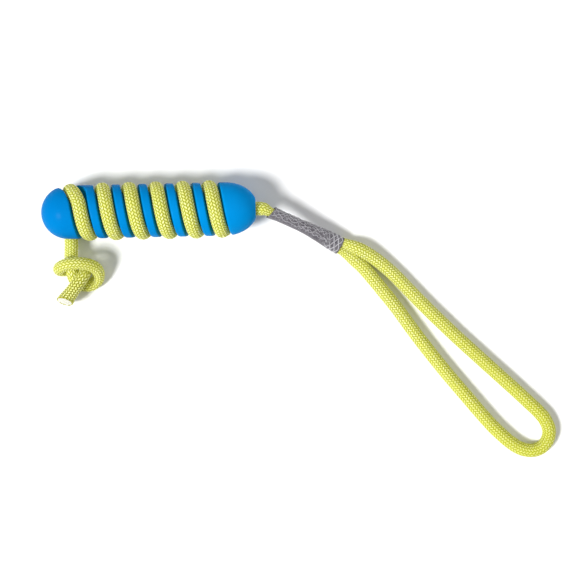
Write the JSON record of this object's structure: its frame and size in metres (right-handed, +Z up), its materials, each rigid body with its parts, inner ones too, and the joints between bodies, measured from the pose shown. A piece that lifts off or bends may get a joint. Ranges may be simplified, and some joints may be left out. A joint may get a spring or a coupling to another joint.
{
  "type": "dog training bumper",
  "caption": "Grooved floating bumper wound with braided rope, with a stitched sleeve and hand loop at one end and a knotted rope tail at the other.",
  "frame": {"origin": "on the supporting surface, under the middle of the float", "axes": "+X along the float's axis towards the hand loop, +Y across the float away from the tail, +Z up"},
  "size_m": [0.4537, 0.2531, 0.052],
  "materials": {
    "float": "blue moulded foam rubber with a smooth satin skin",
    "rope": "lime braided polypropylene rope, a two-over two-under plait with a dull sheen",
    "sleeve": "dark grey woven tape",
    "thread": "pale grey sewing thread",
    "core": "white fibre core with a cut end"
  },
  "bodies": {
    "float": {"float_body": "float", "rope_wrap": "rope"},
    "handle": {"rope_neck": "rope", "rope_return": "rope", "sleeve": "sleeve", "stitch_top_1": "thread", "stitch_top_2": "thread", "stitch_top_3": "thread", "stitch_top_4": "thread", "stitch_top_5": "thread", "stitch_top_6": "thread", "stitch_under_1": "thread", "stitch_under_2": "thread", "stitch_under_3": "thread", "stitch_under_4": "thread", "stitch_under_5": "thread", "stitch_under_6": "thread"},
    "loop": {"rope_loop": "rope"},
    "tail": {"rope_tail": "rope", "rope_tail_core": "core"}
  },
  "joints": [
    {"name": "handle_swing", "type": "hinge", "parent": "float", "child": "handle", "pos_m": [0.1016, -0.0006, 0.026], "axis": [0, 0, 1], "range_deg": [-40, 65]},
    {"name": "loop_lift", "type": "hinge", "parent": "handle", "child": "loop", "pos_m": [0.1702, -0.0349, 0.0129], "axis": [-0.4517, -0.8922, 0], "range_deg": [0, 75]},
    {"name": "tail_swing", "type": "hinge", "parent": "float", "child": "tail", "pos_m": [-0.0702, -0.0295, 0.0138], "axis": [0, 0, 1], "range_deg": [-45, 20]}
  ]
}
